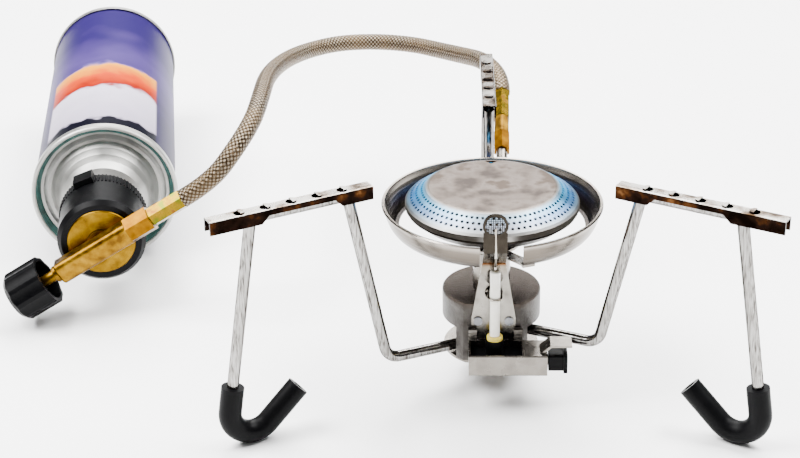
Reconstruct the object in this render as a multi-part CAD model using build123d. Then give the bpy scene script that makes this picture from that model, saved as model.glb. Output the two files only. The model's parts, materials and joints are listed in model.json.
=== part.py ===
from build123d import *
from math import cos, hypot, pi, radians, sin, tan
import os

# Canister stove with a remote cartridge valve.  Millimetres, +Z up.
# The origin is on the floor, under the burner's axis.  -Y is the igniter's side.

# ---- clearances -----------------------------------------------------------------
RUN_FIT = 0.05          # radial, a shaft that turns or slides in its hole
SEAT_GAP = 0.05         # pieces of one body that are seated on each other
AXIAL_GAP = 0.1         # end play of the leg eyes

# ---- hub ------------------------------------------------------------------------
HUB_R = 20.0
HUB_TOP = 40.7
DRUM_BASE = 29.0        # underside of the solid drum, top of the leg windows
SKIRT_BASE = 15.0       # lower ends of the pillars
CAVITY_R = 14.6
FLAT_Y = -16.3          # flat for the igniter bracket
PILLARS = ((236, 12), (304, 12), (90, 9))    # azimuth and half width, degrees
BOLT_R = 4.0
BOLT_HEAD_R = 6.5
BOLT_HEAD_H = 3.0
PLATE_R = 19.4
PLATE_T = 1.2
THREAD_R = 3.0
THREAD_DEPTH = 5.0

# ---- legs -----------------------------------------------------------------------
ROD_D = 4.5
EYE_R = 9.0
REST_AZIMUTH = {"left": 209.6, "right": 330.6, "rear": 90.25}
EYE_PLAY = 0.35         # under the left leg's eye, over the base plate
EYE_Z = {"left": SKIRT_BASE + ROD_D / 2 + EYE_PLAY, "right": 24.7, "rear": 21.1}
FOOT_BEND_R = 9.5
KNEE_BEND_R = 7.0
TOP_BEND_R = 4.0
KNEE = (48.2, 2.4)      # radius, and rise above the eye
INNER_TOP_R = 63.8
OUTER_TOP_R = 103.5
FOOT_CORNER_R = 121.0
FOOT_TIP = (88.2, 18.4)
FOOT_STEPS = 20         # of the search for the foot's height
SLEEVE_OD = 9.0
SLEEVE_TOP_Z = 26.1
BAR_TOP = 98.0
BAR_INNER_R = 54.1
BAR_OUTER_R = 120.6
BAR_WALL = 0.6
BAR_DEPTH = 5.4
BAR_MID_DEPTH = 2.4     # flange depth along the arch
BAR_ARCH = (70.0, 97.0)
LANCE_RADII = (66.0, 76.5, 87.0, 97.5, 108.0)
LANCE_R = 2.1
LANCE_RISE = 0.7

# ---- burner ---------------------------------------------------------------------
TUBE_R = 7.5
TUBE_WALL = 0.8
TUBE_SEAT = 1.5
TUBE_TOP = 68.0
AIR_HOLE_R = 2.7
AIR_HOLE_Z = 53.0
JET_R = 2.5
HEAD_R = 34.7
HEAD_RIM_Z = 79.0
HEAD_TOP_Z = 85.4
HEAD_FLAT_R = 26.1
HEAD_SKIRT = 2.2
SHEET = 0.6
CUP_DROP = 6.0
NECK_Z = 58.0
PORT_R = 0.62
PORT_ROWS = 3
PORT_COUNT = 84
BOWL_R = 44.15
BOWL_RIM_Z = 78.9
BOWL_LIP_R = 37.2
BOWL_LIP_Z = 68.5
BOWL_LIP_W = 2.0
NOTCH = (-5.4, 11.0)
SPIDER_Z = 60.0
SPIDER_ARMS = (40, 140, 290)
SPIDER_W = 5.0

# ---- igniter --------------------------------------------------------------------
IGN_X = 0.6             # centre line of the bracket
PLATE_SHEET = 0.9
BRACKET_W = 17.6
BRACKET_NECK_W = 9.2
BRACKET_Z = (25.3, 60.0)
BRACKET_SHOULDER_Z = 35.0
RIVET_X = (-5.6, 6.8)
RIVET_Z = 33.6
RIVET_R = 1.0
RIVET_DEPTH = 4.0       # into the hub, from its flat
REACH_Y = -36.6         # back of the upright screen ring
REACH_Z = 74.0
SCREEN_Z = 85.0
SCREEN_RING_R = 4.9
SCREEN_R = 3.8
CERAMIC_XY = (1.0, -22.0)
CERAMIC_R = 2.05
CERAMIC_Z = (25.2, 58.5)
WIRE_R = 0.45
WIRE_Y = -39.3
CLIP_Z = 46.4
KEYHOLE_R = 3.6
KEYHOLE_Z = (46.4, 53.4)
TRAY_X = (-9.4, 21.8)
TRAY_Y = (-31.0, -17.3)
TRAY_Z = (16.0, 25.0)
TRAY_SHEET = 0.8
COVER_X = 12.0          # the tray's top is closed beyond this
GUARD_X = (23.0, 31.5)
GUARD_Y = (-29.0, -21.0)
GUARD_RISE = 3.6
BODY_END_X = 17.5
END_WALL = 1.5          # behind the piezo element
BODY_TOP = 22.3
BORE_R = 1.9
PIEZO_L = 7.0
STRIKER_L = 2.0
HAMMER_L = 5.0
HAMMER_POCKET = (1.4, 3.6)      # radius and depth of the hole that the spring enters
SPRING_WIRE = 0.5
HAMMER_GAP = 1.0        # between the pressed hammer and the striker pin
BUTTON_TRAVEL = 3.8
BUTTON_X = 22.3
BUTTON_LEN = 6.0
FLANGE_T = 1.5
BOOT_R = 3.7
BOOT_TOP = 28.0
RING_H = 1.7

# ---- gas line -------------------------------------------------------------------
PIPE_D = 5.0
PIPE_POINTS = ((5.6, 12.6, 32.2), (6.0, 62.0, 44.1), (6.4, 95.0, 60.2))
PIPE_BEND_R = 45.0
ADAPTOR_AF = 6.9
ADAPTOR_L = 10.2
INLET_NUT_AF = 6.6
INLET_NUT_L = 9.6
INLET_FERRULE_AF = 7.0
INLET_FERRULE_L = 16.4
LINE_BORE_R = 1.2
HOSE_D = 8.4
HOSE_LEADS = (15.0, 10.0)       # straight out of the valve's ferrule and the inlet's
# the hose is stiff and held at both ends, so it arches over and sags at its far side;
# these points lie between the two leads
HOSE_ROUTE = (
    (-110.5, 65.0, 74.5),
    (-104.0, 80.0, 82.0),
    (-102.5, 102.0, 86.0),
    (-103.5, 129.0, 83.0),
    (-102.0, 156.0, 79.0),
    (-98.0, 182.0, 74.5),
    (-90.0, 204.0, 71.0),
    (-75.0, 218.0, 70.0),
    (-55.0, 221.5, 69.5),
    (-36.0, 212.0, 71.0),
    (-22.5, 195.5, 73.5),
    (-10.5, 176.0, 77.5),
    (-1.0, 155.0, 82.5),
)

# ---- valve ----------------------------------------------------------------------
CAN_DIR = (-0.1593, 0.9872, 0.0)      # from the valve into the cartridge
SEAM_CENTRE = (-179.8, 106.8, 34.0)
SEAM_R = 34.0
VALVE_OFFSET = 58.4                   # from the seam's plane to the bar's axis
BAR_TILT = 29.3                       # the bar's rise towards the hose, degrees
BAR_W = 10.0
BAR_T = 9.6
BAR_X = (-22.0, 14.5)
VALVE_NUT_AF = 10.3
VALVE_NUT_L = 11.6
VALVE_FERRULE_AF = 7.9
VALVE_FERRULE_L = 16.4
DISC_R = 15.1
DISC_T = 3.6
BOSS_R = 6.3
NOZZLE_R = 5.0
NOZZLE_END = -30.0
COLLAR_R = 19.5
COLLAR_Z = (-36.4, -5.9)
COLLAR_WEB_Z = (-27.0, -14.0)
COLLAR_BORE_R = 16.3
TAB_W = 9.0
TAB_H = 2.6
TAB_L = 9.0
TAB_ANGLE = 20.0
SPINDLE_R = 2.5
GLAND_R = 3.9
GLAND_L = 2.6
GLAND_STEP = 1.8        # stands out of the bar
KNOB_R = 11.5
KNOB_X = (-45.3, -28.0)
KNOB_SKIRT = 11.0
KNOB_WALL = 2.0
KNOB_LOBES = 10
KNOB_BOSS_R = 4.6
SEAL_R = 0.62

# ---- cartridge ------------------------------------------------------------------
CAN_L = 184.0
CAN_WALL = 0.4
CAN_BODY_R = 33.0
SEAM_H = 4.2
DOME_HOLE_R = 13.1
DOME_TOP = 15.5
CUP_FLANGE_R = 15.8
CUP_TOP = 24.4
STEM_R = 1.6
STEM_TOP = 31.5

os.makedirs("parts", exist_ok=True)


def keep(name, shape):
    export_step(shape, f"parts/{name}.step")


def rod(start, end, r):
    """A cylinder from one point to another."""
    start, end = Vector(start), Vector(end)
    axis = end - start
    base = Plane(origin=start, z_dir=axis)
    return base * Cylinder(r, axis.length, align=(Align.CENTER, Align.CENTER, Align.MIN))


def upright(x, y, r, z0, z1):
    return rod((x, y, z0), (x, y, z1), r)


def ring(r0, r1, z0, z1):
    return upright(0, 0, r1, z0, z1) - upright(0, 0, r0, z0 - 1, z1 + 1)


def block(x, y, z):
    """A box between two values on each axis."""
    size = [b - a for a, b in (x, y, z)]
    centre = [(a + b) / 2 for a, b in (x, y, z)]
    return Pos(*centre) * Box(*size)


def turned(points):
    """A closed (radius, height) outline turned about Z."""
    outline = make_face(Polyline(*[(r, 0, z) for r, z in points], close=True))
    return revolve(outline, Axis.Z)


def swept(path, r):
    return sweep(Plane(origin=path @ 0, z_dir=path % 0) * Circle(r), path=path)


def hexagon(start, direction, across_flats, length, bore=0.0):
    """A hexagonal bar with one flat towards the side, and a bore when asked."""
    base = Plane(origin=Vector(start), x_dir=side_of(direction), z_dir=Vector(direction))
    bar = base * extrude(RegularPolygon(across_flats / 2, 6, major_radius=False, rotation=30), length)
    if bore:
        hole = base * Cylinder(bore, length, align=(Align.CENTER, Align.CENTER, Align.MIN))
        bar = bar - hole
    return bar


def side_of(direction):
    return Vector(direction).cross(Vector(0, 0, 1)).normalized()


def sector(azimuth, half_width, r0, r1, z0, z1):
    """A wedge of a ring, centred on an azimuth."""
    a = radians(half_width)
    far = r1 / cos(a) + 1
    wedge = make_face(Polyline((0, 0), (far * cos(a), -far * sin(a)), (far * cos(a), far * sin(a)), close=True))
    solid = Pos(0, 0, z0) * extrude(wedge, z1 - z0)
    return (Rot(0, 0, azimuth) * solid) & ring(r0, r1, z0, z1)


# ---- hub ------------------------------------------------------------------------
PIPE_PORT = PIPE_POINTS[0]
JET_SEAT_Z = HUB_TOP - 4.5


def hub_casting():
    drum = upright(0, 0, HUB_R, DRUM_BASE, HUB_TOP)
    hub = fillet(drum.edges().group_by(Axis.Z)[-1], 1.0)
    for azimuth, half_width in PILLARS:
        hub = hub + sector(azimuth, half_width, CAVITY_R, HUB_R, SKIRT_BASE, DRUM_BASE)
    hub = hub - block((-HUB_R, HUB_R), (-HUB_R - 1, FLAT_Y), (0, HUB_TOP + 1))
    hub = hub - upright(0, 0, THREAD_R, DRUM_BASE - 1, DRUM_BASE + THREAD_DEPTH)
    hub = hub - upright(0, 0, TUBE_R + SEAT_GAP, HUB_TOP - TUBE_SEAT, HUB_TOP + 1)
    hub = hub - upright(0, 0, JET_R, JET_SEAT_Z, HUB_TOP)
    hub = hub - rod(PIPE_PORT, PIPE_POINTS[1], PIPE_D / 2 + SEAT_GAP)
    hub = hub - rod(PIPE_PORT, (0, 0, JET_SEAT_Z + 0.5), 0.8)
    for x in RIVET_X:
        hub = hub - rod((x, FLAT_Y - 1, RIVET_Z), (x, FLAT_Y + RIVET_DEPTH, RIVET_Z), RIVET_R)
    rear = radians(REST_AZIMUTH["rear"])
    grip = Vector(cos(rear), sin(rear), 0)
    hub = hub - rod(grip * (CAVITY_R - 1) + Vector(0, 0, EYE_Z["rear"]),
                    grip * (HUB_R + 5) + Vector(0, 0, EYE_Z["rear"]), ROD_D / 2 + SEAT_GAP)
    return hub


def pivot_pieces():
    plate_top = SKIRT_BASE
    plate_base = plate_top - PLATE_T
    plate = ring(BOLT_R + RUN_FIT, PLATE_R, plate_base, plate_top)
    keep("base_plate", plate - block((-HUB_R, HUB_R), (-HUB_R - 1, FLAT_Y), (0, HUB_TOP)))
    head = Pos(0, 0, plate_base - BOLT_HEAD_H) * extrude(RegularPolygon(BOLT_HEAD_R, 6), BOLT_HEAD_H)
    shank = upright(0, 0, BOLT_R, plate_base, DRUM_BASE)
    thread = upright(0, 0, THREAD_R - SEAT_GAP, DRUM_BASE, DRUM_BASE + THREAD_DEPTH - 0.5)
    keep("pivot_bolt", head + shank + thread)
    half = ROD_D / 2
    low = EYE_Z["left"] + half + AXIAL_GAP
    high = EYE_Z["right"] - half - AXIAL_GAP
    keep("eye_spacer", ring(BOLT_R + RUN_FIT, EYE_R - 1.5, low, high))
    keep("thrust_washer", ring(BOLT_R + RUN_FIT, EYE_R - 0.5, EYE_Z["right"] + half + AXIAL_GAP, DRUM_BASE))


# ---- legs -----------------------------------------------------------------------
ROD_TOP_Z = BAR_TOP - BAR_WALL - ROD_D / 2 - SEAT_GAP


def around(azimuth, shape):
    return Rot(0, 0, azimuth) * shape


def foot_corner():
    """The foot's corner, low enough for the sleeve round its bend to stand on the floor."""
    z = 0.0
    for _ in range(FOOT_STEPS):
        down = (Vector(FOOT_CORNER_R, 0, z) - Vector(OUTER_TOP_R, 0, ROD_TOP_Z)).normalized()
        back = (Vector(FOOT_TIP[0], 0, FOOT_TIP[1]) - Vector(FOOT_CORNER_R, 0, z)).normalized()
        half = radians((down * -1).get_angle(back)) / 2
        centre_z = z + (back - down).normalized().Z * FOOT_BEND_R / sin(half)
        z -= centre_z - FOOT_BEND_R - SLEEVE_OD / 2
    return FOOT_CORNER_R, z


FOOT_CORNER = foot_corner()


def leg_points(eye_z, start_r):
    knee = (KNEE[0], eye_z + KNEE[1])
    return [(start_r, eye_z), knee, (INNER_TOP_R, ROD_TOP_Z), (OUTER_TOP_R, ROD_TOP_Z), FOOT_CORNER, FOOT_TIP]


def leg_rod(name):
    fixed = name == "rear"
    start_r = CAVITY_R if fixed else EYE_R - 1.0
    corners = leg_points(EYE_Z[name], start_r)
    points = [(r, 0, z) for r, z in corners]
    if fixed:
        points[0] = (start_r, 0, EYE_Z[name])
        points[1:1] = [(HUB_R + 5, 0, EYE_Z[name])]
    radii = [KNEE_BEND_R, TOP_BEND_R, TOP_BEND_R, FOOT_BEND_R]
    if fixed:
        radii = [20.0] + radii
    solid = swept(FilletPolyline(*points, radius=radii), ROD_D / 2)
    if not fixed:
        z0, z1 = EYE_Z[name] - ROD_D / 2, EYE_Z[name] + ROD_D / 2
        solid = solid + upright(0, 0, EYE_R, z0, z1)
        solid = solid - upright(0, 0, BOLT_R + RUN_FIT, z0 - 1, z1 + 1)
    return around(REST_AZIMUTH[name], solid)


def foot_sleeve(name):
    run = (FOOT_CORNER[0] - OUTER_TOP_R) / (FOOT_CORNER[1] - ROD_TOP_Z)
    top = (OUTER_TOP_R + run * (SLEEVE_TOP_Z - ROD_TOP_Z), SLEEVE_TOP_Z)
    out = (FOOT_TIP[0] - FOOT_CORNER[0], FOOT_TIP[1] - FOOT_CORNER[1])
    lip = 0.8 / hypot(*out)
    tip = (FOOT_TIP[0] + out[0] * lip, FOOT_TIP[1] + out[1] * lip)
    points = [(r, 0, z) for r, z in (top, FOOT_CORNER, tip)]
    path = FilletPolyline(*points, radius=[FOOT_BEND_R])
    solid = swept(path, SLEEVE_OD / 2) - swept(path, ROD_D / 2 + SEAT_GAP)
    return around(REST_AZIMUTH[name], solid)


def support_bar(name):
    width = ROD_D + 2 * (SEAT_GAP + BAR_WALL)
    low = BAR_TOP - BAR_DEPTH
    bar = block((BAR_INNER_R, BAR_OUTER_R), (-width / 2, width / 2), (low, BAR_TOP))
    bar = fillet(bar.edges().filter_by(Axis.X).group_by(Axis.Z)[-1], BAR_WALL)
    inside = width / 2 - BAR_WALL
    bar = bar - block((BAR_INNER_R - 1, BAR_OUTER_R + 1), (-inside, inside), (low - 1, BAR_TOP - BAR_WALL))
    # the flanges are cut away in a shallow arch between the two bends of the rod
    depth = BAR_DEPTH - BAR_MID_DEPTH
    a0, a1 = BAR_ARCH
    arch = make_face(Polyline((a0 - depth, 0, low - 1), (a0 - depth, 0, low), (a0, 0, low + depth),
                              (a1, 0, low + depth), (a1 + depth, 0, low), (a1 + depth, 0, low - 1), close=True))
    bar = bar - extrude(arch, width, both=True)
    for r in LANCE_RADII:
        half_disc = Circle(LANCE_R) & (Pos(LANCE_R, 0) * Rectangle(2 * LANCE_R, 2 * LANCE_R))
        slot = Pos(r, 0, BAR_TOP - BAR_WALL) * extrude(half_disc, BAR_WALL)
        tongue = Circle(LANCE_R) & (Pos(-LANCE_R / 2, 0) * Rectangle(LANCE_R, 2 * LANCE_R))
        bar = bar - slot + Pos(r, 0, BAR_TOP - BAR_WALL) * extrude(tongue, BAR_WALL + LANCE_RISE)
    return around(REST_AZIMUTH[name], bar)


# ---- burner ---------------------------------------------------------------------
def mixing_tube():
    tube = ring(TUBE_R - TUBE_WALL, TUBE_R, HUB_TOP - TUBE_SEAT, TUBE_TOP)
    for azimuth in (20, 110, 200, 290):
        out = Vector(cos(radians(azimuth)), sin(radians(azimuth)), 0) * (TUBE_R + 2)
        tube = tube - rod((0, 0, AIR_HOLE_Z), (out.X, out.Y, AIR_HOLE_Z), AIR_HOLE_R)
    return tube


def gas_jet():
    seat = HUB_TOP
    jet = upright(0, 0, JET_R - SEAT_GAP, JET_SEAT_Z + 1, seat)
    jet = jet + Pos(0, 0, seat) * extrude(RegularPolygon(3.4, 6), 4.0)
    jet = jet + upright(0, 0, 1.8, seat + 4, seat + 7)
    return jet - upright(0, 0, 0.5, JET_SEAT_Z, seat + 8)


def cap_outline():
    """Outer then inner edge of the burner cap's section."""
    top, rim, foot = HEAD_TOP_Z, HEAD_RIM_Z, HEAD_RIM_Z - HEAD_SKIRT
    flat, edge = HEAD_FLAT_R, HEAD_R
    outer = [(0, top), (flat - 1, top), (flat + 0.4, top - 0.5), (edge - 0.8, rim + 0.9), (edge, rim), (edge, foot)]
    inner = [(edge - SHEET, foot), (edge - SHEET, rim - 0.3), (edge - 1.4, rim + 0.4),
             (flat, top - SHEET - 0.5), (flat - 1.1, top - SHEET), (0, top - SHEET)]
    return outer + inner


def burner_cap():
    cap = turned(cap_outline())
    r_in, z_in = HEAD_FLAT_R + 0.4, HEAD_TOP_Z - 0.5
    r_out, z_out = HEAD_R - 0.8, HEAD_RIM_Z + 0.9
    slope = Vector(r_out - r_in, 0, z_out - z_in)
    normal = Vector(-slope.Z, 0, slope.X).normalized()
    drill = []
    for row in range(PORT_ROWS):
        at = Vector(r_in, 0, z_in) + slope * ((row + 0.75) / (PORT_ROWS + 0.5))
        bit = rod(at - normal * 1.5, at + normal * 1.0, PORT_R)
        turn = (row % 2) * 180 / PORT_COUNT
        drill += [Rot(0, 0, turn + i * 360 / PORT_COUNT) * bit for i in range(PORT_COUNT)]
    cap = cap - drill
    mark = make_face(Polyline((-3, HEAD_FLAT_R - 1.6), (3, HEAD_FLAT_R - 1.6), (0, HEAD_FLAT_R - 4.4), close=True))
    return cap - Pos(0, 0, HEAD_TOP_Z - 2) * extrude(mark, 4)


def burner_cup():
    foot = HEAD_RIM_Z - HEAD_SKIRT
    edge = HEAD_R - SHEET - 0.1
    neck = TUBE_R + SEAT_GAP
    low = foot - CUP_DROP
    outer = [(neck + SHEET, NECK_Z), (neck + SHEET, low - 5), (14, low - 2), (29, low + 0.8), (edge, foot - 1.2),
             (edge, foot + 0.8)]
    inner = [(edge - SHEET, foot + 0.8), (edge - SHEET, foot - 0.9), (28.7, low + 1.5), (13.8, low - 1.3),
             (neck, low - 4.5), (neck, NECK_Z)]
    return turned(outer + inner)


def bowl_outline():
    """Section of the reflector bowl: a flat lip, a curved wall and a rolled rim."""
    lip_in, lip_out = BOWL_LIP_R, BOWL_LIP_R + BOWL_LIP_W
    wall = []
    steps = 6
    for i in range(steps + 1):
        a = radians(90 * i / steps)
        r = lip_out + (BOWL_R - 0.8 - lip_out) * sin(a) * 0.62 + (BOWL_R - 0.8 - lip_out) * 0.38 * i / steps
        z = BOWL_LIP_Z + (BOWL_RIM_Z - 1.2 - BOWL_LIP_Z) * ((1 - cos(a)) * 0.55 + 0.45 * i / steps)
        wall.append((r, z))
    outer = [(lip_in, BOWL_LIP_Z)] + wall
    rim = [(BOWL_R - 0.1, BOWL_RIM_Z - 1.1), (BOWL_R, BOWL_RIM_Z - 0.5), (BOWL_R - 0.4, BOWL_RIM_Z),
           (BOWL_R - 1.2, BOWL_RIM_Z - 0.1)]
    inner = [(r - 0.55, z + 0.5) for r, z in reversed(wall)] + [(lip_in, BOWL_LIP_Z + SHEET)]
    return outer + rim + inner


def reflector_bowl():
    bowl = turned(bowl_outline())
    return bowl - block(NOTCH, (-BOWL_R - 2, -BOWL_LIP_R + 6), (BOWL_LIP_Z - 2, BOWL_RIM_Z + 3))


def bowl_spider():
    neck = TUBE_R + SEAT_GAP + SHEET + SEAT_GAP
    z0, z1 = SPIDER_Z, SPIDER_Z + 1
    spider = ring(neck, neck + 3, z0, z1)
    lip, pad = BOWL_LIP_R, BOWL_LIP_Z
    points = [(neck + 0.5, z0), (neck + 2, z0), (lip - 0.4, pad - 1), (lip + BOWL_LIP_W, pad - 1),
              (lip + BOWL_LIP_W, pad), (lip - 0.6, pad), (neck + 1.8, z1), (neck + 0.5, z1)]
    arm = extrude(make_face(Polyline(*[(r, 0, z) for r, z in points], close=True)), SPIDER_W / 2, both=True)
    for azimuth in SPIDER_ARMS:
        spider = spider + around(azimuth, arm)
    return spider


# ---- igniter --------------------------------------------------------------------
PLATE_Y = FLAT_Y - SEAT_GAP


def igniter_bracket():
    z0, z1 = BRACKET_Z
    back, t = PLATE_Y, PLATE_SHEET
    side = [(back, z0), (back, z1 - 0.3), (REACH_Y, REACH_Z), (REACH_Y, SCREEN_Z + 6), (REACH_Y - t, SCREEN_Z + 6),
            (REACH_Y - t, REACH_Z - 0.5), (back - t, z1 - 0.8), (back - t, z0)]
    sheet = extrude(make_face(Polyline(*[(0, y, z) for y, z in side], close=True)), BRACKET_W, both=True)
    foot, neck = BRACKET_W / 2, BRACKET_NECK_W / 2
    face = make_face(Polyline((-foot, z0), (foot, z0), (foot, BRACKET_SHOULDER_Z), (neck, z1), (neck, SCREEN_Z - 3),
                              (-neck, SCREEN_Z - 3), (-neck, z1), (-foot, BRACKET_SHOULDER_Z), close=True))
    face = face + Pos(0, SCREEN_Z) * Circle(SCREEN_RING_R) - Pos(0, SCREEN_Z) * Circle(SCREEN_R)
    for z in KEYHOLE_Z:
        face = face - Pos(0, z) * Circle(KEYHOLE_R)
    for x in RIVET_X:
        face = face - Pos(x - IGN_X, RIVET_Z) * Circle(RIVET_R)
    outline = Plane(origin=(IGN_X, 0, 0), x_dir=(1, 0, 0), z_dir=(0, -1, 0)) * extrude(face, 60)
    return (Pos(IGN_X, 0, 0) * sheet) & outline


def bracket_rivets():
    pair = []
    for x in RIVET_X:
        shank = rod((x, FLAT_Y + RIVET_DEPTH - 0.3, RIVET_Z), (x, PLATE_Y - PLATE_SHEET, RIVET_Z), RIVET_R - SEAT_GAP)
        head = rod((x, PLATE_Y - PLATE_SHEET, RIVET_Z), (x, PLATE_Y - PLATE_SHEET - 0.7, RIVET_Z), RIVET_R + 0.8)
        pair.append(shank + head)
    return Compound(pair)


def igniter_tray():
    (x0, x1), (y0, y1), (z0, z1) = TRAY_X, TRAY_Y, TRAY_Z
    s = TRAY_SHEET
    tray = block(TRAY_X, TRAY_Y, TRAY_Z)
    tray = fillet(tray.edges().filter_by(Axis.X), 0.6)
    tray = tray - block((x0 + s, x1 + 1), (y0 + s, y1 - s), (z0 + s, z1 - s))
    tray = tray - block((x0 + s, COVER_X), (y0 + s, y1 - s), (z0 + s, z1 + 1))
    g0, g1 = GUARD_X
    rise = z1 + GUARD_RISE
    guard = make_face(Polyline((x1 - 3, 0, z1 - s), (x1 - 2.4, 0, z1 - s), (g0 + 0.4, 0, rise - s), (g1, 0, rise - s),
                               (g1, 0, rise), (g0, 0, rise), (x1 - 3, 0, z1), close=True))
    guard_w = GUARD_Y[1] - GUARD_Y[0]
    guard = Pos(0, (GUARD_Y[0] + GUARD_Y[1]) / 2, 0) * extrude(guard, guard_w / 2, both=True)
    tray = tray + guard
    # two ribbed posts, folded up from the tray's rear wall
    for x in (x0 + 1.8, 10.6):
        post = block((x - 1.8, x + 1.6), (y1 - 2.4, y1), (z1 - s, z1 + 5.6))
        for i in range(3):
            z = z1 + 1.2 + 1.5 * i
            post = post - rod((x - 3, y1 - 2.5, z), (x + 3, y1 - 2.5, z), 0.35)
        tray = tray + post
    return tray


def body_span():
    s = TRAY_SHEET + SEAT_GAP
    return (TRAY_X[0] + s, BODY_END_X), (TRAY_Y[0] + s, TRAY_Y[1] - s), (TRAY_Z[0] + s, BODY_TOP)


def bore_axis():
    _, y, z = body_span()
    return (y[0] + y[1]) / 2, (z[0] + z[1]) / 2


def igniter_inside():
    x, y, z = body_span()
    by, bz = bore_axis()
    body = block(x, y, z) - rod((x[0] + END_WALL, by, bz), (x[1] + 1, by, bz), BORE_R)
    cx, cy = CERAMIC_XY
    keep("igniter_body", body)
    r = BORE_R - RUN_FIT
    start = x[0] + END_WALL
    piezo_end = start + PIEZO_L
    striker_end = piezo_end + STRIKER_L
    keep("piezo_element", rod((start, by, bz), (piezo_end, by, bz), r))
    keep("striker_pin", rod((piezo_end, by, bz), (striker_end, by, bz), r))
    # the spring has its pressed length, so that the hammer's pocket takes it whole
    pocket_r, pocket = HAMMER_POCKET
    spring_end = striker_end + HAMMER_GAP + pocket - SEAT_GAP
    outer = rod((striker_end, by, bz), (spring_end, by, bz), pocket_r - 0.1)
    keep("igniter_spring", outer - rod((start, by, bz), (spring_end + 1, by, bz), pocket_r - 0.1 - SPRING_WIRE))
    hammer_x = striker_end + HAMMER_GAP + BUTTON_TRAVEL
    hammer = rod((hammer_x, by, bz), (hammer_x + HAMMER_L, by, bz), r)
    keep("igniter_hammer", hammer - rod((hammer_x - 1, by, bz), (hammer_x + pocket, by, bz), pocket_r))
    keep("button_plunger", rod((hammer_x + HAMMER_L, by, bz), (BUTTON_X, by, bz), r))
    y0, y1 = TRAY_Y[0] + TRAY_SHEET + 0.5, TRAY_Y[1] - TRAY_SHEET - 0.5
    z0, z1 = TRAY_Z[0] + TRAY_SHEET + 0.4, TRAY_Z[1] - TRAY_SHEET - 0.4
    head = block((BUTTON_X, BUTTON_X + BUTTON_LEN), (y0 + 0.6, y1 - 2.4), (z0, z1))
    head = fillet(head.edges().filter_by(Axis.X), 0.6)
    cap_x = BUTTON_X + BUTTON_LEN
    flange = block((cap_x, cap_x + FLANGE_T), (y0 - 0.2, y1 - 1.6), (z0 - 0.8, z1 + 0.8))
    keep("igniter_button", head + fillet(flange.edges().filter_by(Axis.X), 0.8))
    boot = upright(cx, cy, BOOT_R, BODY_TOP, BOOT_TOP) - upright(cx, cy, CERAMIC_R + SEAT_GAP, CERAMIC_Z[0], BOOT_TOP + 1)
    keep("insulator_boot", boot)
    seal = upright(cx, cy, BOOT_R - 0.5, BOOT_TOP, BOOT_TOP + RING_H)
    seal = seal - upright(cx, cy, CERAMIC_R + SEAT_GAP, BOOT_TOP - 1, BOOT_TOP + RING_H + 1)
    keep("silicone_ring", fillet(seal.edges().group_by(Axis.Z)[-1].sort_by(SortBy.RADIUS)[-1], 0.7))


def ceramic_and_wire():
    cx, cy = CERAMIC_XY
    z0, z1 = CERAMIC_Z
    tube = upright(cx, cy, CERAMIC_R, z0, z1)
    tube = chamfer(tube.edges().group_by(Axis.Z)[-1], 0.5)
    hole = WIRE_R + SEAT_GAP
    keep("ceramic_insulator", tube - upright(cx, cy, hole, z0 - 1, z1 + 1))
    points = [(cx, cy, z0 + 0.5), (cx, cy, z1 + 2.0), (cx - 0.2, WIRE_Y, REACH_Z - 1.5), (cx - 0.4, WIRE_Y, SCREEN_Z - 0.3)]
    keep("electrode_wire", swept(FilletPolyline(*points, radius=[1.6, 3.0]), WIRE_R))
    reach = CERAMIC_R + WIRE_R + SEAT_GAP
    back = PLATE_Y + WIRE_R + 0.2
    front = cy - reach
    clip = [(cx - reach - 2.9, back, CLIP_Z), (cx - reach, back, CLIP_Z), (cx - reach, front, CLIP_Z),
            (cx + reach, front, CLIP_Z), (cx + reach, back, CLIP_Z), (cx + reach + 2.9, back, CLIP_Z)]
    bend = reach - 0.05
    keep("insulator_clip", swept(FilletPolyline(*clip, radius=[0.6, bend, bend, 0.6]), WIRE_R))
    y = REACH_Y - PLATE_SHEET / 2
    keep("spark_screen", rod((IGN_X, y + 0.2, SCREEN_Z), (IGN_X, y - 0.2, SCREEN_Z), SCREEN_R - SEAT_GAP))


# ---- gas line -------------------------------------------------------------------
def along(start, direction, distance):
    return Vector(start) + Vector(direction).normalized() * distance


INLET_START = PIPE_POINTS[-1]
INLET_AXIS = (Vector(*PIPE_POINTS[-1]) - Vector(*PIPE_POINTS[-2])).normalized()
NUT_START = along(INLET_START, INLET_AXIS, ADAPTOR_L)
FERRULE_START = along(NUT_START, INLET_AXIS, INLET_NUT_L)
INLET_END = along(FERRULE_START, INLET_AXIS, INLET_FERRULE_L)


def inlet_line():
    path = FilletPolyline(*PIPE_POINTS, radius=[PIPE_BEND_R])
    pipe = swept(path, PIPE_D / 2) - swept(path, PIPE_D / 2 - 1.0)
    keep("feed_pipe", pipe)
    keep("inlet_adaptor", hexagon(INLET_START, INLET_AXIS, ADAPTOR_AF, ADAPTOR_L, LINE_BORE_R))
    nut = hexagon(NUT_START, INLET_AXIS, INLET_NUT_AF, INLET_NUT_L, LINE_BORE_R)
    keep("inlet_nut", nut & rod(NUT_START, FERRULE_START, INLET_NUT_AF / 2 + 0.25))
    keep("inlet_ferrule", hexagon(FERRULE_START, INLET_AXIS, INLET_FERRULE_AF, INLET_FERRULE_L, LINE_BORE_R))


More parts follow.
